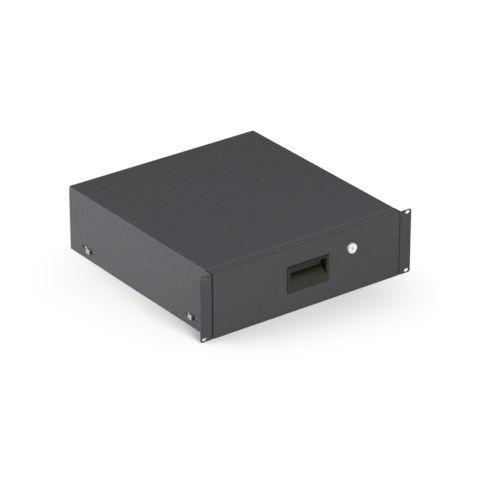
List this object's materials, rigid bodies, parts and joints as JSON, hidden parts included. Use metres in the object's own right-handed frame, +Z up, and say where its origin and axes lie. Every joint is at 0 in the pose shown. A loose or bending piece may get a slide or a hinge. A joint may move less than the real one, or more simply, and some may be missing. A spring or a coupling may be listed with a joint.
{
  "type": "rack drawer",
  "caption": "Lockable sliding drawer for a 19-inch rack: folded steel case with slotted ears, a tray on telescopic ball slides, a recessed pull and a cam lock.",
  "frame": {"origin": "centre of the four ear slots, on the ears' back face that meets the rack's rails", "axes": "+X across the rack to the right seen from the front, +Y back into the rack, +Z up; the drawer opens along -Y"},
  "size_m": [0.4826, 0.4674, 0.1324],
  "materials": {
    "case_paint": "fine textured powder coat, anthracite",
    "front_paint": "fine textured powder coat, anthracite",
    "tray_paint": "fine textured powder coat, anthracite",
    "zinc": "bright zinc plate",
    "nut_zinc": "bright zinc plate",
    "cage_steel": "thin rolled strip",
    "ball_steel": "polished",
    "lock_chrome": "satin nickel plate",
    "handle_plastic": "moulded, fine grain, black",
    "bumper_rubber": "moulded",
    "lever_plastic": "moulded",
    "black_screws": "black zinc plate"
  },
  "bodies": {
    "case": {"case_shell": "case_paint", "case_floor": "case_paint", "rear_panel": "case_paint", "floor_screws": "black_screws", "rear_screws": "black_screws", "left_slide_outer": "zinc", "left_slide_studs": "nut_zinc", "left_slide_nuts": "nut_zinc", "left_bumper": "bumper_rubber", "right_slide_outer": "zinc", "right_slide_studs": "nut_zinc", "right_slide_nuts": "nut_zinc", "right_bumper": "bumper_rubber"},
    "drawer": {"front_plate": "front_paint", "drawer_front": "front_paint", "drawer_tray": "tray_paint", "front_studs": "zinc", "front_nuts": "zinc", "pull_handle": "handle_plastic", "lock_body": "lock_chrome", "lock_washer": "zinc", "lock_nut": "lock_chrome", "left_slide_inner": "zinc", "left_lever_rivet": "zinc", "left_tray_screws": "nut_zinc", "right_slide_inner": "zinc", "right_lever_rivet": "zinc", "right_tray_screws": "nut_zinc"},
    "lock_core": {"lock_plug": "lock_chrome", "lock_cam": "zinc", "cam_screw": "zinc"},
    "left_middle": {"left_slide_middle": "zinc"},
    "left_outer_race": {"left_outer_cage": "cage_steel", "left_outer_balls": "ball_steel"},
    "left_inner_race": {"left_inner_cage": "cage_steel", "left_inner_balls": "ball_steel"},
    "left_lever": {"left_release_lever": "lever_plastic"},
    "right_middle": {"right_slide_middle": "zinc"},
    "right_outer_race": {"right_outer_cage": "cage_steel", "right_outer_balls": "ball_steel"},
    "right_inner_race": {"right_inner_cage": "cage_steel", "right_inner_balls": "ball_steel"},
    "right_lever": {"right_release_lever": "lever_plastic"}
  },
  "joints": [
    {"name": "drawer_slide", "type": "slide", "parent": "case", "child": "drawer", "axis": [0, -1, 0], "range_m": [0, 0.38]},
    {"name": "lock_turn", "type": "hinge", "parent": "drawer", "child": "lock_core", "pos_m": [0.0996, 0, 0.0257], "axis": [0, 1, 0], "range_deg": [0, 90]},
    {"name": "left_middle_slide", "type": "slide", "parent": "case", "child": "left_middle", "axis": [0, -1, 0], "range_m": [0, 0.19]},
    {"name": "left_outer_race_slide", "type": "slide", "parent": "case", "child": "left_outer_race", "axis": [0, -1, 0], "range_m": [0, 0.095]},
    {"name": "left_inner_race_slide", "type": "slide", "parent": "case", "child": "left_inner_race", "axis": [0, -1, 0], "range_m": [0, 0.285]},
    {"name": "left_lever_press", "type": "hinge", "parent": "drawer", "child": "left_lever", "pos_m": [-0.205, 0.1125, -0.04365], "axis": [1, 0, 0], "range_deg": [0, 7], "stiffness_Nm_per_rad": 0.02},
    {"name": "right_middle_slide", "type": "slide", "parent": "case", "child": "right_middle", "axis": [0, -1, 0], "range_m": [0, 0.19]},
    {"name": "right_outer_race_slide", "type": "slide", "parent": "case", "child": "right_outer_race", "axis": [0, -1, 0], "range_m": [0, 0.095]},
    {"name": "right_inner_race_slide", "type": "slide", "parent": "case", "child": "right_inner_race", "axis": [0, -1, 0], "range_m": [0, 0.285]},
    {"name": "right_lever_press", "type": "hinge", "parent": "drawer", "child": "right_lever", "pos_m": [0.205, 0.1125, -0.04365], "axis": [1, 0, 0], "range_deg": [0, 7], "stiffness_Nm_per_rad": 0.02}
  ],
  "couplings": [
    {"joint": "left_middle_slide", "follows": "drawer_slide", "ratio": 0.5},
    {"joint": "left_outer_race_slide", "follows": "drawer_slide", "ratio": 0.25},
    {"joint": "left_inner_race_slide", "follows": "drawer_slide", "ratio": 0.75},
    {"joint": "right_middle_slide", "follows": "drawer_slide", "ratio": 0.5},
    {"joint": "right_outer_race_slide", "follows": "drawer_slide", "ratio": 0.25},
    {"joint": "right_inner_race_slide", "follows": "drawer_slide", "ratio": 0.75}
  ]
}
